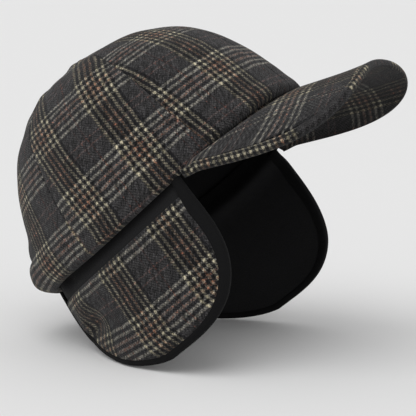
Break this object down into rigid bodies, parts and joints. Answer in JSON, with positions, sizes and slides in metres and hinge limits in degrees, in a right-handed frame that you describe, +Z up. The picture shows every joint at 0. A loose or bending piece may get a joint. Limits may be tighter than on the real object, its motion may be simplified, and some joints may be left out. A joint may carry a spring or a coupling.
{
  "type": "baseball cap with earflaps",
  "caption": "Wool tweed baseball cap with a rounded crown of six gores, a curved peak and black-bordered earflaps that hang over the ears.",
  "frame": {"origin": "middle of the oval hem, where the head sits in the cap as it is worn, tipped back 42 degrees", "axes": "+Z up as worn, -Y towards the front (the peak), +X towards the wearer's left; the cap is mirrored about the plane X = 0"},
  "size_m": [0.1764, 0.248, 0.2069],
  "materials": {
    "tweed": "charcoal wool tweed with a cream and rust glen plaid",
    "black_cloth": "matt black cloth",
    "black_binding": "matt black folded binding"
  },
  "bodies": {
    "root": {"crown_front_right": "tweed", "crown_front_left": "tweed", "crown_side_right": "tweed", "crown_side_left": "tweed", "crown_back_right": "tweed", "crown_back_left": "tweed", "peak_upper": "tweed", "peak_under": "tweed", "flap_panel_right": "black_cloth", "flap_panel_left": "black_cloth", "flap_patch_right": "tweed", "flap_patch_left": "tweed", "flap_binding_right": "black_binding", "flap_binding_left": "black_binding"}
  },
  "joints": []
}
